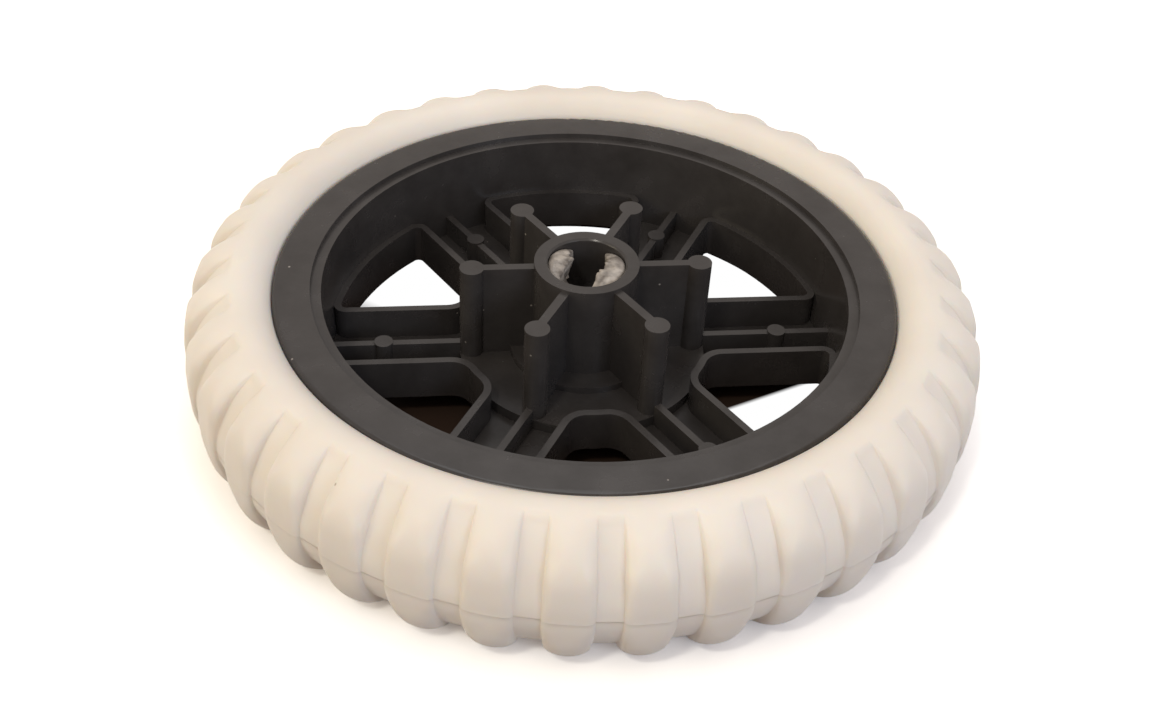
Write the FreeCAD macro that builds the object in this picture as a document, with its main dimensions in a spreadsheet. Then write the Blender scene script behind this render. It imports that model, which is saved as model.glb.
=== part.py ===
"""Trolley wheel lying on its show side: a black ribbed rim with a cream lugged tyre.

Frame: +Z along the axle bore towards the ribbed side, origin on the bore axis at the tyre's mid plane,
+X along one spoke. Millimetres.
"""

import FreeCAD, Part
import math
import os

import Sketcher

doc = FreeCAD.newDocument("Wheel")
sheet = doc.addObject("Spreadsheet::Sheet", "Sizes")

SIZES = {
    # tyre
    "wheel_dia": 160.0,
    "tyre_height": 18.0,
    "tyre_bulge": 3.5,
    "crown_taper": 8.0,
    "shoulder_radius": 11.3,
    "side_lip": 0.7,
    "lug_count": 36,
    "lug_turn": 2.3,
    "groove_angle": 3.9,
    "groove_depth": 0.8,
    "groove_reach": 11.0,
    "groove_floor_radius": 24.0,
    "seat_clearance": 0.15,
    # flanges and barrel
    "rim_width": 24.6,
    "flange_height": 6.8,
    "flange_thick": 2.6,
    "flange_round": 1.0,
    "barrel_wall": 2.7,
    "barrel_draft": 0.8,
    "lip_width": 2.1,
    "lip_drop": 1.0,
    # show side
    "face_recess": 2.3,
    "face_margin": 2.0,
    "skin": 2.0,
    # spokes and windows
    "spoke_count": 6,
    "spoke_width": 18.6,
    "edge_wall": 1.5,
    "edge_drop": 13.4,
    "window_inner_margin": 1.2,
    "window_outer_margin": 1.1,
    "window_inner_fillet": 4.2,
    "window_outer_fillet": 1.2,
    "rib_thick": 1.5,
    "rib_drop": 15.5,
    "rib_boss_dia": 3.8,
    "rib_boss_inset": 10.9,
    "rib_boss_rise": 0.4,
    # hub
    "hub_wall": 2.7,
    "hub_rise": 3.6,
    "floor_dia": 50.6,
    "floor_drop": 18.0,
    "floor_thick": 2.2,
    "collar_width": 4.5,
    "collar_rise": 1.4,
    "fin_thick": 1.8,
    "fin_step": 0.7,
    "column_dia": 4.9,
    "axle_bore_dia": 8.2,
    "bush_seat_dia": 15.6,
    "bush_seat_depth": 12.0,
    "mouth_chamfer": 0.4,
}

for row, (alias, number) in enumerate(SIZES.items(), start=1):
    sheet.set("A%d" % row, alias)
    sheet.set("B%d" % row, str(number))
    sheet.setAlias("B%d" % row, alias)
doc.recompute()


class Size:
    """A number together with the sheet expression that gives it."""

    def __init__(self, value, text):
        self.value = value
        self.text = text

    def __add__(self, other):
        other = plain(other)
        return Size(self.value + other.value, "(%s + %s)" % (self.text, other.text))

    def __sub__(self, other):
        other = plain(other)
        return Size(self.value - other.value, "(%s - %s)" % (self.text, other.text))

    def __mul__(self, other):
        other = plain(other)
        return Size(self.value * other.value, "(%s * %s)" % (self.text, other.text))

    def __truediv__(self, other):
        other = plain(other)
        return Size(self.value / other.value, "(%s / %s)" % (self.text, other.text))

    def __neg__(self):
        return Size(-self.value, "(0 - %s)" % self.text)


def plain(number):
    return number if isinstance(number, Size) else Size(float(number), repr(number))


def size(alias):
    return Size(float(sheet.get(alias)), "Sizes.%s" % alias)


def root(square):
    return Size(math.sqrt(square.value), "sqrt(%s)" % square.text)


def side_of(hypotenuse, leg):
    """The other leg of a right-angled triangle."""
    return root(hypotenuse * hypotenuse - leg * leg)


def least(one, other):
    return Size(min(one.value, other.value), "min(%s; %s)" % (one.text, other.text))


def sine(degrees):
    return Size(math.sin(math.radians(degrees.value)), "sin(%s * 1deg)" % degrees.text)


def cosine(degrees):
    return Size(math.cos(math.radians(degrees.value)), "cos(%s * 1deg)" % degrees.text)


def bind(obj, path, amount):
    obj.setExpression(path, plain(amount).text)


def origin_part(body, role):
    return next(part for part in body.Origin.OriginFeatures if part.Role == role)


def new_body(label):
    body = doc.addObject("PartDesign::Body", label.capitalize())
    body.Label = label
    return body


def new_sketch(body, name, role, height=None, turn=None):
    """A sketch on one of the body's own planes, raised along the plane's normal and turned on it."""
    sketch = body.newObject("Sketcher::SketchObject", name)
    sketch.AttachmentSupport = [(origin_part(body, role), "")]
    sketch.MapMode = "FlatFace"
    if height is not None:
        bind(sketch, "AttachmentOffset.Base.z", height)
    if turn is not None:
        sketch.AttachmentOffset = FreeCAD.Placement(FreeCAD.Vector(), FreeCAD.Rotation(turn.value, 0, 0))
        bind(sketch, "AttachmentOffset.Rotation.Angle", turn)
    return sketch


def pin(sketch, constraint, amount):
    index = sketch.addConstraint(constraint)
    bind(sketch, "Constraints[%d]" % index, amount)


def arc_between(start, end, radius):
    """A minor arc from start to end: a positive radius turns to the left, a negative one to the right."""
    chord = end - start
    middle = (start + end) * 0.5
    rise = math.sqrt(max(radius * radius - chord.Length * chord.Length / 4, 0.0))
    left = FreeCAD.Vector(-chord.y, chord.x, 0).normalize()
    bulge = middle - left * math.copysign(abs(radius) - rise, radius)
    return Part.Arc(start, bulge, end)


def outline(sketch, steps):
    """Draw a closed outline. A step is (x, y) for a line to that corner, or (x, y, radius) for an arc."""
    corners = [FreeCAD.Vector(step[0].value, step[1].value, 0) for step in steps]
    count = len(steps)
    starts = []
    for index, step in enumerate(steps):
        before = corners[index - 1]
        here = corners[index]
        if len(step) == 2:
            geo = sketch.addGeometry(Part.LineSegment(before, here), False)
            starts.append((geo, 1, 2))
            continue
        geo = sketch.addGeometry(arc_between(before, here, step[2].value), False)
        # an arc is stored counter-clockwise, so one that turns right has its ends swapped
        starts.append((geo, 1, 2) if step[2].value > 0 else (geo, 2, 1))
    for index, (geo, _, end) in enumerate(starts):
        after, first, _ = starts[(index + 1) % count]
        sketch.addConstraint(Sketcher.Constraint("Coincident", geo, end, after, first))
        x, y = steps[index][:2]
        pin(sketch, Sketcher.Constraint("DistanceX", geo, end, x.value), x)
        pin(sketch, Sketcher.Constraint("DistanceY", geo, end, y.value), y)
    for (geo, _, _), step in zip(starts, steps):
        if len(step) == 3:
            amount = step[2] if step[2].value > 0 else -step[2]
            pin(sketch, Sketcher.Constraint("Radius", geo, amount.value), amount)


def box_outline(sketch, near, far, half):
    outline(sketch, [(far, -half), (far, half), (near, half), (near, -half)])


def disc(sketch, place, radius):
    geo = sketch.addGeometry(Part.Circle(FreeCAD.Vector(place.value, 0, 0), FreeCAD.Vector(0, 0, 1),
                                         radius.value), False)
    sketch.addConstraint(Sketcher.Constraint("PointOnObject", geo, 3, -1))
    pin(sketch, Sketcher.Constraint("DistanceX", geo, 3, place.value), place)
    pin(sketch, Sketcher.Constraint("Radius", geo, radius.value), radius)


def turned(body, name, sketch):
    feature = body.newObject("PartDesign::Revolution", name)
    feature.Profile = sketch
    feature.ReferenceAxis = (sketch, ["V_Axis"])
    feature.Angle = 360
    return feature


def raised(body, name, sketch, height):
    feature = body.newObject("PartDesign::Pad", name)
    feature.Profile = sketch
    bind(feature, "Length", height)
    return feature


def repeated(body, name, features, count):
    pattern = body.newObject("PartDesign::PolarPattern", name)
    pattern.Originals = features
    pattern.Axis = (origin_part(body, "Z_Axis"), [""])
    pattern.Angle = 360
    bind(pattern, "Occurrences", count)
    body.Tip = pattern
    return pattern


# Share of a full round that a window's inner fillet may reach
FULLEST_ROUND = 0.9

# Levels and radii that more than one feature uses
rim_top = size("rim_width") / 2
show_face = size("face_recess") - rim_top
skin_top = show_face + size("skin")
hub_top = rim_top + size("hub_rise")
floor_top = rim_top - size("floor_drop")
edge_top = rim_top - size("edge_drop")
wheel_r = size("wheel_dia") / 2
flange_r = wheel_r - size("tyre_height")
flange_under = rim_top - size("flange_thick")
bed_r = flange_r - size("flange_height")
barrel_r = bed_r - size("barrel_wall")
barrel_foot_r = barrel_r - size("barrel_draft")
seat_r = size("bush_seat_dia") / 2
hub_r = seat_r + size("hub_wall")
floor_r = size("floor_dia") / 2


def rim_section():
    """Half section of everything on the rim that is turned about the bore."""
    bore_r = size("axle_bore_dia") / 2
    chamfer = size("mouth_chamfer")
    seat_floor = hub_top - size("bush_seat_depth")
    collar_r = hub_r + size("collar_width")
    collar_top = floor_top + size("collar_rise")
    lip = rim_top - size("lip_drop")
    lip_r = barrel_r + size("lip_width")
    edge = size("flange_round")
    face_r = bed_r - size("face_margin")
    recess_top = floor_top - size("floor_thick")
    recess_r = floor_r - size("skin")
    return [
        (bore_r, -rim_top),
        (hub_r, -rim_top),
        (hub_r, recess_top),
        (recess_r, recess_top),
        (recess_r, show_face),
        (face_r, show_face),
        (face_r, -rim_top),
        (flange_r - edge, -rim_top),
        (flange_r, edge - rim_top, edge),
        (flange_r, -flange_under),
        (bed_r, -flange_under),
        (bed_r, flange_under),
        (flange_r, flange_under),
        (flange_r, rim_top - edge),
        (flange_r - edge, rim_top, edge),
        (lip_r, rim_top),
        (lip_r, lip),
        (barrel_r, lip),
        (barrel_foot_r, skin_top),
        (floor_r, skin_top),
        (floor_r, floor_top),
        (collar_r, floor_top),
        (collar_r, collar_top),
        (hub_r, collar_top),
        (hub_r, hub_top),
        (seat_r + chamfer, hub_top),
        (seat_r, hub_top - chamfer),
        (seat_r, seat_floor),
        (bore_r, seat_floor),
    ]


def window_outline(half_gap, inner_r, outer_r, inner_fillet, outer_fillet):
    """A window on +X between two spokes: sides along the spokes, ends round the bore, rounded corners."""
    half_turn = plain(180) / size("spoke_count")
    along = (cosine(half_turn), sine(half_turn))
    across = (along[1], -along[0])

    def place(run, offset):
        return (along[0] * run + across[0] * offset, along[1] * run + across[1] * offset)

    def scaled(point, ratio):
        return (point[0] * ratio, point[1] * ratio)

    def mirrored(point):
        return (point[0], -point[1])

    inner_run = side_of(inner_r + inner_fillet, half_gap + inner_fillet)
    outer_run = side_of(outer_r - outer_fillet, half_gap + outer_fillet)
    inner_corner = place(inner_run, half_gap + inner_fillet)
    outer_corner = place(outer_run, half_gap + outer_fillet)
    inner_end = scaled(inner_corner, inner_r / (inner_r + inner_fillet))
    outer_end = scaled(outer_corner, outer_r / (outer_r - outer_fillet))
    inner_side = place(inner_run, half_gap)
    outer_side = place(outer_run, half_gap)
    return [
        (*mirrored(outer_side),),
        (*mirrored(outer_end), outer_fillet),
        (*outer_end, outer_r),
        (*outer_side, outer_fillet),
        (*inner_side,),
        (*inner_end, inner_fillet),
        (*mirrored(inner_end), -inner_r),
        (*mirrored(inner_side), inner_fillet),
    ]


def make_rim():
    body = new_body("rim")
    section = new_sketch(body, "RimSection", "XZ_Plane")
    outline(section, rim_section())
    turned(body, "RimTurned", section)

    half_turn = plain(180) / size("spoke_count")
    half_gap = size("spoke_width") / 2
    wall = size("edge_wall")
    inner_r = floor_r + size("window_inner_margin")
    outer_r = barrel_foot_r - size("window_outer_margin")
    # two full rounds close the inner end, so the fillet can be no larger than they are
    full_round = (inner_r * sine(half_turn) - half_gap) / (plain(1) - sine(half_turn))
    inner_fillet = least(size("window_inner_fillet"), full_round * FULLEST_ROUND)
    outer_fillet = size("window_outer_fillet")
    edge_sketch = new_sketch(body, "WindowEdge", "XY_Plane", show_face, half_turn)
    outline(edge_sketch, window_outline(half_gap - wall, inner_r - wall, outer_r + wall,
                                        inner_fillet + wall, outer_fillet + wall))
    edge = raised(body, "WindowEdgeWall", edge_sketch, edge_top - show_face)

    window_sketch = new_sketch(body, "WindowOpening", "XY_Plane", edge_top, half_turn)
    outline(window_sketch, window_outline(half_gap, inner_r, outer_r, inner_fillet, outer_fillet))
    window = body.newObject("PartDesign::Pocket", "Window")
    window.Profile = window_sketch
    bind(window, "Length", edge_top + rim_top)

    rib_rise = rim_top - size("rib_drop") - skin_top
    rib_sketch = new_sketch(body, "SpokeRibPlan", "XY_Plane", skin_top)
    box_outline(rib_sketch, floor_r - wall, barrel_r, size("rib_thick") / 2)
    rib = raised(body, "SpokeRib", rib_sketch, rib_rise)

    boss_sketch = new_sketch(body, "RibBossPlan", "XY_Plane", skin_top)
    disc(boss_sketch, barrel_foot_r - size("rib_boss_inset"), size("rib_boss_dia") / 2)
    boss = raised(body, "RibBoss", boss_sketch, rib_rise + size("rib_boss_rise"))

    # the columns stand flush with the edge of the hub floor
    column_r = size("column_dia") / 2
    column_place = floor_r - column_r
    fin_rise = hub_top - size("fin_step") - floor_top
    fin_sketch = new_sketch(body, "HubFinPlan", "XY_Plane", floor_top)
    box_outline(fin_sketch, hub_r - wall, column_place, size("fin_thick") / 2)
    fin = raised(body, "HubFin", fin_sketch, fin_rise)

    column_sketch = new_sketch(body, "ColumnPlan", "XY_Plane", floor_top)
    disc(column_sketch, column_place, column_r)
    column = raised(body, "HubColumn", column_sketch, fin_rise)

    repeated(body, "Spokes", [edge, window, rib, boss, fin, column], size("spoke_count"))
    return body


def make_tyre():
    """Foam tyre: a beaded ring that fills the bed, bulges past the flanges and is grooved across."""
    body = new_body("tyre")
    gap = size("seat_clearance")
    half = rim_top + size("tyre_bulge")
    taper = size("crown_taper")
    shoulder = size("shoulder_radius")
    bead_r = bed_r + gap
    bead_half = flange_under - gap
    side_r = flange_r + gap
    side_low = rim_top - size("side_lip")

    # both halves of the tread taper away from the mould line and run smoothly into their shoulders
    middle = plain(0)
    joint_z = half - shoulder + sine(taper) * shoulder
    joint_r = wheel_r - joint_z * sine(taper) / cosine(taper)
    shoulder_r = joint_r - cosine(taper) * shoulder
    # the side wall rises from the flange and is level where the shoulder starts
    run = shoulder_r - side_r
    rise = half - side_low
    side_radius = (run * run + rise * rise) / (rise * 2)

    section = new_sketch(body, "TyreSection", "XZ_Plane")
    outline(section, [
        (side_r, -bead_half),
        (side_r, -side_low),
        (shoulder_r, -half, side_radius),
        (joint_r, -joint_z, shoulder),
        (wheel_r, middle),
        (joint_r, joint_z),
        (shoulder_r, half, shoulder),
        (side_r, side_low, side_radius),
        (side_r, bead_half),
        (bead_r, bead_half),
        (bead_r, -bead_half),
    ])
    turned(body, "TyreTurned", section)

    # a groove is shallow at the mould line, deeper on the shoulders and runs out on the side walls
    floor_radius = size("groove_floor_radius")
    middle_r = wheel_r - size("groove_depth")
    end_r = wheel_r - size("groove_reach")
    clear_r = wheel_r + half
    clear_top = half * 2
    groove_sketch = new_sketch(body, "GrooveSection", "XZ_Plane")
    outline(groove_sketch, [
        (clear_r, -clear_top),
        (clear_r, clear_top),
        (end_r, clear_top),
        (end_r, half),
        (middle_r, middle, -floor_radius),
        (end_r, -half, -floor_radius),
        (end_r, -clear_top),
    ])
    groove = body.newObject("PartDesign::Groove", "TreadGroove")
    groove.Profile = groove_sketch
    groove.ReferenceAxis = (groove_sketch, ["V_Axis"])
    groove.Midplane = True
    bind(groove, "Angle", size("groove_angle"))

    repeated(body, "Tread", [groove], size("lug_count"))
    half_pitch = plain(180) / size("lug_count")
    body.Placement = FreeCAD.Placement(FreeCAD.Vector(), FreeCAD.Rotation(FreeCAD.Vector(0, 0, 1), 0))
    bind(body, "Placement.Rotation.Angle", size("lug_turn") + half_pitch)
    return body


def check(parts):
    doc.recompute()
    for obj in doc.Objects:
        if "Invalid" in obj.State or "Error" in obj.State:
            raise RuntimeError("%s failed: %s" % (obj.Name, obj.State))
    for part in parts:
        if part.Shape.isNull() or not part.Shape.isValid():
            raise RuntimeError("%s has no valid shape" % part.Label)


parts = [make_rim(), make_tyre()]
check(parts)
os.makedirs("parts", exist_ok=True)
for part in parts:
    part.Shape.exportStep("parts/%s.step" % part.Label)
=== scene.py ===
"""Looks of a trolley wheel: cream foam tyre, black moulded rim, old grease in the mouth of the hub.

Metres, in the part's own frame: +Z along the bore towards the ribbed side, origin at the tyre's mid plane.
"""

import math

import bmesh
import bpy
from mathutils import Matrix, Vector, noise


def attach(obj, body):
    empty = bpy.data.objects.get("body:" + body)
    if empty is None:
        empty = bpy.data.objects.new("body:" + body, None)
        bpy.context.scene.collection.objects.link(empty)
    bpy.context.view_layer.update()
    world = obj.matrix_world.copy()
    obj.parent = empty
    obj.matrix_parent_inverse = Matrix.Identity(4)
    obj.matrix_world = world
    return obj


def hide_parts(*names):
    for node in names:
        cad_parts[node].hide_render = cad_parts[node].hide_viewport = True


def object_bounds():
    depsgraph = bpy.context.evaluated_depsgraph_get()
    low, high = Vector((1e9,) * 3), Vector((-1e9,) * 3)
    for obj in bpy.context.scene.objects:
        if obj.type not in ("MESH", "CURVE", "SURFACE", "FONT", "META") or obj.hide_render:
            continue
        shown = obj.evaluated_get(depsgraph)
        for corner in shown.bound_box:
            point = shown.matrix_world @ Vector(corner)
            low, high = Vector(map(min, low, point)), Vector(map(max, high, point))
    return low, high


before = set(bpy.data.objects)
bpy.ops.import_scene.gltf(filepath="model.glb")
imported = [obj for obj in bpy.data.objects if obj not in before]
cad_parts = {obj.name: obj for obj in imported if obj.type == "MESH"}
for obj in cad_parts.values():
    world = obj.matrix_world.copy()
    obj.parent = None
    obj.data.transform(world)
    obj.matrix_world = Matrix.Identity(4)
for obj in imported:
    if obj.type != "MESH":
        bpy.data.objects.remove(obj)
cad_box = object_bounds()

MM = 0.001

# Rim and tyre sizes that the finish follows
WHEEL_RADIUS = 80 * MM
RIM_TOP = 12.3 * MM
FLANGE_RADIUS = 62 * MM
FLANGE_UNDER = 9.7 * MM
BED_RADIUS = 55.2 * MM
SEAT_CLEARANCE = 0.15 * MM
SIDE_LIP = 0.7 * MM
TYRE_HALF = 15.8 * MM
CROWN_TAPER = math.radians(8)
SHOULDER_RADIUS = 11.3 * MM
LUG_COUNT = 36
LUG_TURN = math.radians(2.3)
GROOVE_DEPTH = 0.8 * MM
GROOVE_REACH = 11 * MM
GROOVE_FLOOR_RADIUS = 24 * MM
HUB_TOP = 15.9 * MM
BUSH_SEAT_RADIUS = 7.8 * MM

# Tread as it is moulded: lugs with a steep foot and rounded edges, rounder on the shoulders
GROOVE_FLOOR_HALF = 2.3 * MM
GROOVE_MOUTH_HALF = 4.4 * MM
SHOULDER_MOUTH_HALF = 6.8 * MM
FOOT_ROUND = 0.1
RUN_OUT = 2.4 * MM
CROWN_ROUND = 4.5 * MM
SHOW_SIDE_ROUNDS = (1 * MM, 9 * MM)
RIBBED_SIDE_ROUNDS = (8 * MM, 13 * MM)

# Mould line: a thin ragged flash in a shallow bed, and two halves that don't quite meet
FLASH_HEIGHT = 0.07 * MM
FLASH_MEAN = 0.55
FLASH_SWING = 0.45
FLASH_SWING_LENGTH = 6 * MM
FLASH_HALF = 0.25 * MM
FLASH_BED_HALF = 3 * MM
HALF_MISMATCH = 0.03 * MM

# Soft waves in the foam, and how both they and the tread fade out towards the flange
FOAM_WAVE = 0.1 * MM
FOAM_WAVE_LENGTH = 14 * MM
FOAM_WAVE_FADE = (64 * MM, 70 * MM)
SIDE_FADE = 3 * MM

# Steps of the tyre's mesh along its section and across half a lug, crowded at the lug's foot
SIDE_STEPS = 8
SHOULDER_STEPS = 22
CROWN_STEPS = 6
FLASH_STEPS = 3
LUG_STEPS = 14
LUG_CROWDING = 1.7

# Rounding of the rim's moulded edges
EDGE_ROUND = 0.3 * MM
EDGE_SEGMENTS = 2
SHARP_ANGLE = math.radians(35)
FLAT_ANGLE = math.radians(0.6)
FLAT_WEIGHT = 100
WELD = 0.002 * MM

# Old grease on the wall of the bush seat: steps of its mesh, its form and its lumps
GREASE_STEPS = 48
GREASE_TURNS = 24
GREASE_TAPER = 0.6
GREASE_BULGE = 0.8
GREASE_SQUARENESS = 0.15
GREASE_END_SHARE = 0.25
GREASE_LUMP_LENGTH = 2.2 * MM
GREASE_GRAIN_LENGTH = 0.9 * MM
GREASE_GRAIN_SHARE = 0.5
GREASE_UNEVEN = 0.4
GREASE_RISE = 0.7 * MM
GREASE_THINNEST = 0.02 * MM
GREASE_BELOW_HUB_TOP = 0.05 * MM

# Floor, with the edges of the painted light and the painted shade on the ground beneath the wheel, from dark
# to bright
FLOOR_REACH = 1.5
PAINTED_GROUND_EDGE = (72 * MM, 68 * MM)
PAINTED_LIGHT_WAY = (0.6, 0.8, 0.0)
PAINTED_LIGHT_EDGE = (-9 * MM, -2 * MM)
PAINTED_SPOKE_SHADOW_WAY = (0.377, -0.926, 0.0)
PAINTED_SPOKE_SHADOW_FRONT_EDGE = (20 * MM, 21 * MM)
PAINTED_SPOKE_SHADOW_BACK_EDGE = (10 * MM, 12 * MM)

# Viewpoint: a perspective camera aimed a little in front of the hub, slightly rolled
IMAGE_WIDTH = 1150
FOCAL_PIXELS = 1487.1
SENSOR = 36.0
CAMERA_AZIMUTH = math.radians(-8.0)
CAMERA_ELEVATION = math.radians(36.47)
CAMERA_DISTANCE = 298 * MM
CAMERA_ROLL = math.radians(3.19)
CAMERA_AIM = Vector((-4.82 * MM, -26.16 * MM, RIM_TOP))
CAMERA_NEAREST = 10 * MM


def linear(code):
    """An sRGB hex colour as linear red, green, blue and alpha."""
    channels = [int(code[place:place + 2], 16) / 255 for place in (1, 3, 5)]
    return [c / 12.92 if c <= 0.04045 else ((c + 0.055) / 1.055) ** 2.4 for c in channels] + [1.0]


def ease(value, low, high):
    """0 below low, 1 above high and a smooth rise between them."""
    share = min(max((value - low) / (high - low), 0.0), 1.0)
    return share * share * share * (share * (share * 6 - 15) + 10)


def bare_tree(owner):
    """The emptied node tree of a material or of the world."""
    owner.use_nodes = True
    owner.node_tree.nodes.clear()
    return owner.node_tree


def add(tree, kind, links=None, **settings):
    """Add a node. Settings are its properties or its inputs by name; links join an input to a socket."""
    node = tree.nodes.new(kind)
    for name, value in settings.items():
        if hasattr(node, name):
            setattr(node, name, value)
        else:
            node.inputs[name.replace("_", " ")].default_value = value
    for name, socket in (links or {}).items():
        tree.links.new(socket, node.inputs[name])
    return node


def moulded_polypropylene():
    """Black injection-moulded polypropylene: satin, faintly clouded gloss, a few specks of dust."""
    material = bpy.data.materials.new("moulded_polypropylene")
    tree = bare_tree(material)
    place = add(tree, "ShaderNodeTexCoord").outputs["Object"]
    cloud = add(tree, "ShaderNodeTexNoise", {"Vector": place},
                Scale=1 / (9 * MM), Detail=4.0, Roughness=0.6)
    # the skin's real grain is finer, and is drawn coarse enough to show
    grit = add(tree, "ShaderNodeTexNoise", {"Vector": place}, Scale=1 / (0.9 * MM), Detail=3.0)
    speck = add(tree, "ShaderNodeTexVoronoi", {"Vector": place}, Scale=1 / (7 * MM))
    cloudy = add(tree, "ShaderNodeMapRange", {"Value": cloud.outputs["Fac"]}, From_Min=0.3, From_Max=0.7)
    dusty = add(tree, "ShaderNodeMapRange", {"Value": speck.outputs["Distance"]},
                From_Min=0.04, From_Max=0.02)
    black = add(tree, "ShaderNodeMixRGB", {"Fac": cloudy.outputs["Result"]},
                Color1=linear("#373433"), Color2=linear("#43403f"))
    colour = add(tree, "ShaderNodeMixRGB",
                 {"Fac": dusty.outputs["Result"], "Color1": black.outputs["Color"]},
                 Color2=linear("#a19b95"))
    gloss = add(tree, "ShaderNodeMapRange", {"Value": cloud.outputs["Fac"]}, To_Min=0.2, To_Max=0.32)
    bump = add(tree, "ShaderNodeBump", {"Height": grit.outputs["Fac"]}, Strength=0.12, Distance=0.05 * MM)
    shader = add(tree, "ShaderNodeBsdfPrincipled",
                 {"Base Color": colour.outputs["Color"], "Roughness": gloss.outputs["Result"],
                  "Normal": bump.outputs["Normal"]}, IOR=1.49)
    add(tree, "ShaderNodeOutputMaterial", {"Surface": shader.outputs["BSDF"]})
    return material


def moulded_foam():
    """Closed-cell moulded foam: cream, satin skin that light sinks into, faint mottling, a few specks."""
    material = bpy.data.materials.new("moulded_foam")
    tree = bare_tree(material)
    place = add(tree, "ShaderNodeTexCoord").outputs["Object"]
    mottle = add(tree, "ShaderNodeTexNoise", {"Vector": place}, Scale=1 / (25 * MM), Detail=3.0)
    # the foam's real cells are finer, and are drawn coarse enough to show
    cells = add(tree, "ShaderNodeTexNoise", {"Vector": place}, Scale=1 / (0.8 * MM), Detail=2.0)
    speck = add(tree, "ShaderNodeTexVoronoi", {"Vector": place}, Scale=1 / (24 * MM))
    mottled = add(tree, "ShaderNodeMapRange", {"Value": mottle.outputs["Fac"]}, From_Min=0.3, From_Max=0.7)
    dirty = add(tree, "ShaderNodeMapRange", {"Value": speck.outputs["Distance"]},
                From_Min=0.024, From_Max=0.016)
    cream = add(tree, "ShaderNodeMixRGB", {"Fac": mottled.outputs["Result"]},
                Color1=linear("#ece4da"), Color2=linear("#f3ece3"))
    colour = add(tree, "ShaderNodeMixRGB",
                 {"Fac": dirty.outputs["Result"], "Color1": cream.outputs["Color"]},
                 Color2=linear("#a39584"))
    bump = add(tree, "ShaderNodeBump", {"Height": cells.outputs["Fac"]}, Strength=0.1, Distance=0.05 * MM)
    shader = add(tree, "ShaderNodeBsdfPrincipled",
                 {"Base Color": colour.outputs["Color"], "Normal": bump.outputs["Normal"]},
                 Roughness=0.42, IOR=1.48, Specular_IOR_Level=0.25, Subsurface_Weight=0.5,
                 Subsurface_Scale=2.5 * MM, Subsurface_Radius=(1.0, 0.75, 0.5))
    add(tree, "ShaderNodeOutputMaterial", {"Surface": shader.outputs["BSDF"]})
    return material


def old_grease():
    """Aged grease: pale grey, lumpy, half dried, with a soft wet gloss."""
    material = bpy.data.materials.new("old_grease")
    tree = bare_tree(material)
    place = add(tree, "ShaderNodeTexCoord").outputs["Object"]
    streak = add(tree, "ShaderNodeTexNoise", {"Vector": place}, Scale=1 / (2 * MM), Detail=4.0)
    streaky = add(tree, "ShaderNodeMapRange", {"Value": streak.outputs["Fac"]}, From_Min=0.3, From_Max=0.7)
    colour = add(tree, "ShaderNodeMixRGB", {"Fac": streaky.outputs["Result"]},
                 Color1=linear("#6d6660"), Color2=linear("#bdb5ac"))
    bump = add(tree, "ShaderNodeBump", {"Height": streak.outputs["Fac"]}, Strength=0.4, Distance=0.2 * MM)
    shader = add(tree, "ShaderNodeBsdfPrincipled",
                 {"Base Color": colour.outputs["Color"], "Normal": bump.outputs["Normal"]},
                 Roughness=0.32, IOR=1.47)
    add(tree, "ShaderNodeOutputMaterial", {"Surface": shader.outputs["BSDF"]})
    return material


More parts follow.
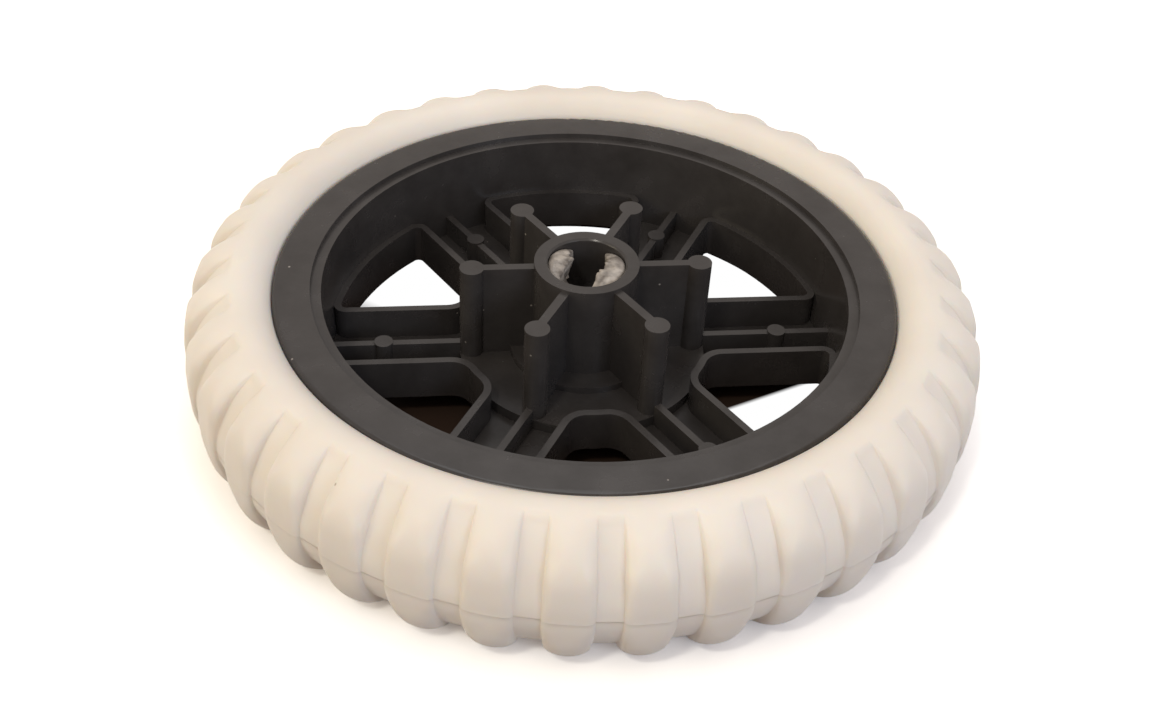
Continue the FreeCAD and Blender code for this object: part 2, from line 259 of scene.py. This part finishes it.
def floor_with_painted_light_and_shade():
    """White floor that keeps the shadow; what bounces off it onto the wheel is a dark warm tone.

    Beneath the wheel it carries painted light and painted shade: a painted glow where the windows show it,
    but painted shade at the front left and a painted shadow of the right-hand spoke.
    """
    material = bpy.data.materials.new("floor_with_painted_light_and_shade")
    tree = bare_tree(material)
    ray = add(tree, "ShaderNodeLightPath").outputs
    mirrored = add(tree, "ShaderNodeMath", {0: ray["Is Glossy Ray"], 1: ray["Is Transmission Ray"]},
                   operation="MAXIMUM")
    seen = add(tree, "ShaderNodeMath", {0: ray["Is Camera Ray"], 1: mirrored.outputs["Value"]},
               operation="MAXIMUM")
    place = add(tree, "ShaderNodeTexCoord").outputs["Object"]
    # pale paper counted twice, which renders white and still darkens in the shadow
    paper = add(tree, "ShaderNodeBsdfDiffuse", Color=linear("#e6e6e6"))
    white = add(tree, "ShaderNodeAddShader")
    # painted glow and painted shade for the ground beneath the wheel
    painted_glow = add(tree, "ShaderNodeEmission", Color=linear("#ffffff"), Strength=1.0)
    painted_shade = add(tree, "ShaderNodeBsdfDiffuse", Color=linear("#42342c"))
    bounce = add(tree, "ShaderNodeBsdfDiffuse", Color=linear("#4a2f20"))
    # painted light, away from the painted shade on the ground at the front left
    painted_light_lean = add(tree, "ShaderNodeVectorMath", {0: place}, operation="DOT_PRODUCT")
    painted_light_lean.inputs[1].default_value = PAINTED_LIGHT_WAY
    painted_light = add(tree, "ShaderNodeMapRange", {"Value": painted_light_lean.outputs["Value"]},
              From_Min=PAINTED_LIGHT_EDGE[0], From_Max=PAINTED_LIGHT_EDGE[1])
    # out of the painted shadow of the right-hand spoke, either in front of it or behind it
    painted_shadow_forward = add(tree, "ShaderNodeVectorMath", {0: place}, operation="DOT_PRODUCT")
    painted_shadow_forward.inputs[1].default_value = PAINTED_SPOKE_SHADOW_WAY
    before = add(tree, "ShaderNodeMapRange", {"Value": painted_shadow_forward.outputs["Value"]},
                 From_Min=PAINTED_SPOKE_SHADOW_FRONT_EDGE[0], From_Max=PAINTED_SPOKE_SHADOW_FRONT_EDGE[1])
    spread = add(tree, "ShaderNodeSeparateXYZ", {"Vector": place})
    behind_painted_shadow = add(tree, "ShaderNodeMapRange", {"Value": spread.outputs["Y"]},
                 From_Min=PAINTED_SPOKE_SHADOW_BACK_EDGE[0], From_Max=PAINTED_SPOKE_SHADOW_BACK_EDGE[1])
    clear = add(tree, "ShaderNodeMath", {0: before.outputs["Result"], 1: behind_painted_shadow.outputs["Result"]},
                operation="MAXIMUM")
    # the painted glow is for the eye alone, so that it doesn't light the walls of the windows
    shown = add(tree, "ShaderNodeMath", {0: painted_light.outputs["Result"], 1: ray["Is Camera Ray"]},
                operation="MULTIPLY")
    painted_bright = add(tree, "ShaderNodeMath", {0: clear.outputs["Value"], 1: shown.outputs["Value"]},
                 operation="MULTIPLY")
    reach = add(tree, "ShaderNodeVectorMath", {0: place}, operation="LENGTH")
    painted_ground_share = add(tree, "ShaderNodeMapRange", {"Value": reach.outputs["Value"]},
                  From_Min=PAINTED_GROUND_EDGE[0], From_Max=PAINTED_GROUND_EDGE[1])
    # the ground beneath the wheel: painted glow where the painted light falls, painted shade elsewhere
    painted_ground = add(tree, "ShaderNodeMixShader", {"Fac": painted_bright.outputs["Value"]})
    sheet = add(tree, "ShaderNodeMixShader", {"Fac": painted_ground_share.outputs["Result"]})
    mix = add(tree, "ShaderNodeMixShader", {"Fac": seen.outputs["Value"]})
    for source, target, socket in ((paper, white, 0), (paper, white, 1), (painted_shade, painted_ground, 1), (painted_glow, painted_ground, 2),
                                   (white, sheet, 1), (painted_ground, sheet, 2), (bounce, mix, 1), (sheet, mix, 2)):
        tree.links.new(source.outputs[0], target.inputs[socket])
    add(tree, "ShaderNodeOutputMaterial", {"Surface": mix.outputs[0]})
    return material


def in_scene(name, data):
    """A new object of this mesh, lamp or camera, linked to the scene."""
    thing = bpy.data.objects.new(name, data)
    bpy.context.scene.collection.objects.link(thing)
    return thing


def smooth_piece(name, mesh, material):
    """A smooth-shaded piece of one material."""
    mesh.materials.append(material)
    mesh.polygons.foreach_set("use_smooth", [True] * len(mesh.polygons))
    return in_scene(name, mesh)


def piece_of_points(name, points, faces, material):
    """A smooth-shaded piece from its points and faces."""
    mesh = bpy.data.meshes.new(name)
    mesh.from_pydata(points, [], faces)
    return smooth_piece(name, mesh, material)


def skin(rings, size, closed):
    """Faces between neighbouring rings of points. A closed skin joins the last ring to the first."""
    faces = []
    for ring in range(rings if closed else rings - 1):
        here = ring * size
        there = (ring + 1) % rings * size
        for row in range(size):
            after = (row + 1) % size
            faces.append((here + row, here + after, there + after, there + row))
    return faces


def arc(centre, radius, start, end, count):
    """Points along an arc of the tyre's section with their outward directions, the last one left out."""
    angles = [start + (end - start) * step / count for step in range(count)]
    ways = [Vector((math.cos(angle), math.sin(angle))) for angle in angles]
    return [(centre + radius * way, way) for way in ways]


def tyre_half_section():
    """The tyre's section above the mould line, from flange to crown: point, outward way, groove depth."""
    joint_z = TYRE_HALF - SHOULDER_RADIUS * (1 - math.sin(CROWN_TAPER))
    joint = Vector((WHEEL_RADIUS - joint_z * math.tan(CROWN_TAPER), joint_z))
    crown_way = Vector((math.cos(CROWN_TAPER), math.sin(CROWN_TAPER)))
    shoulder_centre = joint - SHOULDER_RADIUS * crown_way
    side_foot = Vector((FLANGE_RADIUS + SEAT_CLEARANCE, RIM_TOP - SIDE_LIP))
    run = shoulder_centre.x - side_foot.x
    rise = TYRE_HALF - side_foot.y
    side_radius = (run * run + rise * rise) / (2 * rise)
    side_centre = Vector((shoulder_centre.x, TYRE_HALF - side_radius))
    side_start = math.pi - math.asin((side_foot.y - side_centre.y) / side_radius)
    floor_start = Vector((WHEEL_RADIUS - GROOVE_DEPTH, 0))
    floor_end = Vector((WHEEL_RADIUS - GROOVE_REACH, TYRE_HALF))
    chord = floor_end - floor_start
    inward = Vector((-chord.y, chord.x)).normalized()
    floor_centre = (floor_start + floor_end) / 2
    floor_centre += inward * math.sqrt(GROOVE_FLOOR_RADIUS ** 2 - chord.length_squared / 4)

    def depth(point, outward):
        """How far the groove's floor, an arc from the mould line to the side wall, lies below the lugs."""
        arm = point - floor_centre
        along = arm.dot(outward)
        inside = along * along - arm.dot(arm) + GROOVE_FLOOR_RADIUS ** 2
        run_out = ease(point.x, floor_end.x, floor_end.x + RUN_OUT)
        return max(along - math.sqrt(max(inside, 0.0)), 0.0) * run_out

    outer = arc(side_centre, side_radius, side_start, math.pi / 2, SIDE_STEPS)
    outer += arc(shoulder_centre, SHOULDER_RADIUS, math.pi / 2, CROWN_TAPER, SHOULDER_STEPS)
    crown = Vector((WHEEL_RADIUS, 0))
    flash_foot = crown + (joint - crown) * (FLASH_HALF / joint_z)
    for start, end, count in ((joint, flash_foot, CROWN_STEPS), (flash_foot, crown, FLASH_STEPS)):
        outer += [(start + (end - start) * step / count, crown_way) for step in range(count)]
    return [(point, outward, depth(point, outward)) for point, outward in outer]


def tyre_columns():
    """Angles round the tyre, closest at the feet of the lugs, and how far each is from its groove."""
    half_pitch = math.pi / LUG_COUNT * WHEEL_RADIUS
    shares = [(step / LUG_STEPS) ** LUG_CROWDING for step in range(LUG_STEPS + 1)]
    lug = [GROOVE_FLOOR_HALF + (half_pitch - GROOVE_FLOOR_HALF) * share for share in shares]
    half = [0.0, GROOVE_FLOOR_HALF / 2] + lug
    offsets = [-distance for distance in half[-2:0:-1]] + half
    for groove in range(LUG_COUNT):
        centre = LUG_TURN + (groove + 0.5) * 2 * math.pi / LUG_COUNT
        for offset in offsets:
            yield centre + offset / WHEEL_RADIUS, abs(offset)


def lug_fall(distance, height):
    """Share of the groove's depth at a distance from its middle: a steep foot and a rounded edge."""
    low, high = RIBBED_SIDE_ROUNDS if height > 0 else SHOW_SIDE_ROUNDS
    mouth = GROOVE_MOUTH_HALF + (SHOULDER_MOUTH_HALF - GROOVE_MOUTH_HALF) * ease(abs(height), low, high)
    reach = min(max((distance - GROOVE_FLOOR_HALF) / (mouth - GROOVE_FLOOR_HALF), 0.0), 1.0)
    wall = 1 - math.sqrt(1 - (1 - reach) ** 2)
    return wall + (1 - wall) * (1 - ease(reach, 0.0, FOOT_ROUND))


def foam_tyre(material):
    """The tyre ring: lugs with soft walls, a thin flash round the mould line, the bead in its bed."""
    upper = tyre_half_section()
    crown = (Vector((WHEEL_RADIUS, 0)), Vector((1, 0)), GROOVE_DEPTH)
    lower = [(Vector((p.x, -p.y)), Vector((n.x, -n.y)), d) for p, n, d in reversed(upper)]
    rows = upper + [crown] + lower
    bead_half = FLANGE_UNDER - SEAT_CLEARANCE
    bead_radius = BED_RADIUS + SEAT_CLEARANCE
    side_radius = FLANGE_RADIUS + SEAT_CLEARANCE
    bead = [(side_radius, -bead_half), (bead_radius, -bead_half),
            (bead_radius, bead_half), (side_radius, bead_half)]
    points = []
    for angle, distance in tyre_columns():
        across = Vector((math.cos(angle), math.sin(angle), 0))
        ragged = noise.noise(across * (WHEEL_RADIUS / FLASH_SWING_LENGTH))
        flash = FLASH_HEIGHT * (FLASH_MEAN + FLASH_SWING * ragged)
        for point, outward, depth in rows:
            height = abs(point.y)
            sunk = depth * lug_fall(distance, point.y)
            sunk += math.tan(CROWN_TAPER) * max(CROWN_ROUND - height, 0.0) ** 2 / (2 * CROWN_ROUND)
            sunk += FLASH_HEIGHT * (1 - ease(height, FLASH_HALF, FLASH_BED_HALF))
            sunk -= flash * (1 - ease(height, 0.0, FLASH_HALF))
            if point.y < -FLASH_HALF:
                sunk += HALF_MISMATCH
            spot = across * point.x + Vector((0, 0, point.y))
            wave = FOAM_WAVE * (0.5 + 0.5 * noise.noise(spot / FOAM_WAVE_LENGTH))
            sunk += wave * ease(point.x, *FOAM_WAVE_FADE)
            place = point - outward * sunk * ease(point.x, side_radius, side_radius + SIDE_FADE)
            points.append(across * place.x + Vector((0, 0, place.y)))
        points += [across * radius + Vector((0, 0, height)) for radius, height in bead]
    ring = len(rows) + len(bead)
    faces = skin(len(points) // ring, ring, closed=True)
    return piece_of_points("foam_tyre", points, faces, material)


def rounded_rim(node, material):
    """The rim with its moulded edges rounded as a mould leaves them."""
    shape = bmesh.new()
    shape.from_mesh(node.data)
    bmesh.ops.remove_doubles(shape, verts=shape.verts, dist=WELD)
    bmesh.ops.dissolve_limit(shape, angle_limit=FLAT_ANGLE, verts=shape.verts, edges=shape.edges)
    sharp = [edge for edge in shape.edges if edge.is_manifold and edge.calc_face_angle() > SHARP_ANGLE]
    bmesh.ops.bevel(shape, geom=sharp, offset=EDGE_ROUND, segments=EDGE_SEGMENTS, profile=0.5,
                    affect="EDGES", clamp_overlap=True)
    mesh = bpy.data.meshes.new("moulded_rim")
    shape.to_mesh(mesh)
    shape.free()
    piece = smooth_piece("moulded_rim", mesh, material)
    # large flat faces keep their own direction, so the light lies evenly on them
    normals = piece.modifiers.new("even_flats", "WEIGHTED_NORMAL")
    normals.mode = "FACE_AREA"
    normals.weight = FLAT_WEIGHT
    return piece


def grease_lump(name, material, start, end, thickest, low, high, seed):
    """A crescent of grease on the bush seat's wall between two angles, lumpy and tapered at its ends."""
    points = []
    for step in range(GREASE_STEPS + 1):
        share = step / GREASE_STEPS
        angle = math.radians(start + (end - start) * share)
        across = Vector((math.cos(angle), math.sin(angle), 0))
        swell = math.sin(math.pi * share) ** GREASE_TAPER
        tallness = GREASE_END_SHARE + (1 - GREASE_END_SHARE) * swell
        for turn in range(GREASE_TURNS):
            tilt = 2 * math.pi * turn / GREASE_TURNS
            depth = thickest * swell * (0.5 - 0.5 * math.cos(tilt)) ** GREASE_BULGE
            lift = math.copysign(abs(math.sin(tilt)) ** GREASE_SQUARENESS, math.sin(tilt))
            height = 0.5 * (low + high) + 0.5 * (high - low) * lift * tallness
            spot = across * (BUSH_SEAT_RADIUS - depth) + Vector((0, 0, height))
            lump = noise.noise(spot / GREASE_LUMP_LENGTH + Vector((seed, 0, 0)))
            lump += GREASE_GRAIN_SHARE * noise.noise(spot / GREASE_GRAIN_LENGTH + Vector((0, seed, 0)))
            depth *= 1 + GREASE_UNEVEN * lump
            height = min(height + GREASE_RISE * lump * (depth / thickest), HUB_TOP - GREASE_BELOW_HUB_TOP)
            points.append(across * (BUSH_SEAT_RADIUS - max(depth, GREASE_THINNEST)) + Vector((0, 0, height)))
    faces = skin(GREASE_STEPS + 1, GREASE_TURNS, closed=False)
    faces.append(tuple(reversed(range(GREASE_TURNS))))
    faces.append(tuple(GREASE_STEPS * GREASE_TURNS + turn for turn in range(GREASE_TURNS)))
    return piece_of_points(name, points, faces, material)


def floor_below(height, material):
    """A wide square sheet at the given height."""
    corners = [(x * FLOOR_REACH, y * FLOOR_REACH, height) for x, y in ((-1, -1), (1, -1), (1, 1), (-1, 1))]
    return piece_of_points("floor_with_painted_light_and_shade", corners, [(0, 1, 2, 3)], material)


def soft_light(name, place, size, watts, code):
    """A square lamp that faces the wheel."""
    lamp = bpy.data.lights.new(name, "AREA")
    lamp.size = size
    lamp.energy = watts
    lamp.color = linear(code)[:3]
    light = in_scene(name, lamp)
    light.location = place
    light.rotation_euler = (-Vector(place)).to_track_quat("-Z", "Y").to_euler()


def viewpoint():
    """The scene's camera."""
    camera = bpy.data.cameras.new("viewpoint")
    camera.sensor_width = SENSOR
    camera.lens = FOCAL_PIXELS / IMAGE_WIDTH * SENSOR
    camera.clip_start = CAMERA_NEAREST
    away = Vector((math.sin(CAMERA_AZIMUTH) * math.cos(CAMERA_ELEVATION),
                   -math.cos(CAMERA_AZIMUTH) * math.cos(CAMERA_ELEVATION), math.sin(CAMERA_ELEVATION)))
    place = Vector((0, 0, RIM_TOP)) + CAMERA_DISTANCE * away
    look = (CAMERA_AIM - place).normalized()
    level = look.cross(Vector((0, 0, 1))).normalized()
    upright = level.cross(look)
    right = math.cos(CAMERA_ROLL) * level + math.sin(CAMERA_ROLL) * upright
    up = math.cos(CAMERA_ROLL) * upright - math.sin(CAMERA_ROLL) * level
    eye = in_scene("viewpoint", camera)
    eye.matrix_world = Matrix((right, up, -look)).transposed().to_4x4()
    eye.location = place
    bpy.context.scene.camera = eye


def soft_sky():
    """Even, slightly warm light from all round."""
    world = bpy.data.worlds.new("soft_sky")
    tree = bare_tree(world)
    light = add(tree, "ShaderNodeBackground", Color=linear("#fff4eb"), Strength=0.598)
    add(tree, "ShaderNodeOutputWorld", {"Surface": light.outputs["Background"]})
    bpy.context.scene.world = world


black_plastic = moulded_polypropylene()
cream_foam = moulded_foam()
pale_grease = old_grease()

tyre = foam_tyre(cream_foam)
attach(tyre, "root")
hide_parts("tyre")

rim = rounded_rim(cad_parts["rim"], black_plastic)
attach(rim, "root")
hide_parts("rim")

left_grease = grease_lump("grease_left", pale_grease, start=104, end=216, thickest=4.2 * MM,
                          low=9 * MM, high=15.7 * MM, seed=3.0)
right_grease = grease_lump("grease_right", pale_grease, start=-100, end=54, thickest=4.6 * MM,
                           low=9 * MM, high=15.8 * MM, seed=11.0)
for lump in (left_grease, right_grease):
    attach(lump, "root")

floor = floor_below(cad_box[0][2], floor_with_painted_light_and_shade())

viewpoint()
soft_sky()
soft_light("high_lamp", place=(-0.34, -0.5, 0.85), size=0.1, watts=1.65, code="#fffaee")
soft_light("cool_window", place=(0.5, -0.75, 0.42), size=0.4, watts=2.4, code="#dbeaff")
soft_light("warm_left", place=(-0.84, -0.2, 0.36), size=0.5, watts=2.0, code="#fff1cd")
soft_light("overhead", place=(0.06, 0.4, 0.88), size=0.5, watts=1.3, code="#f3f9ff")

bpy.context.scene.view_settings.view_transform = "Standard"
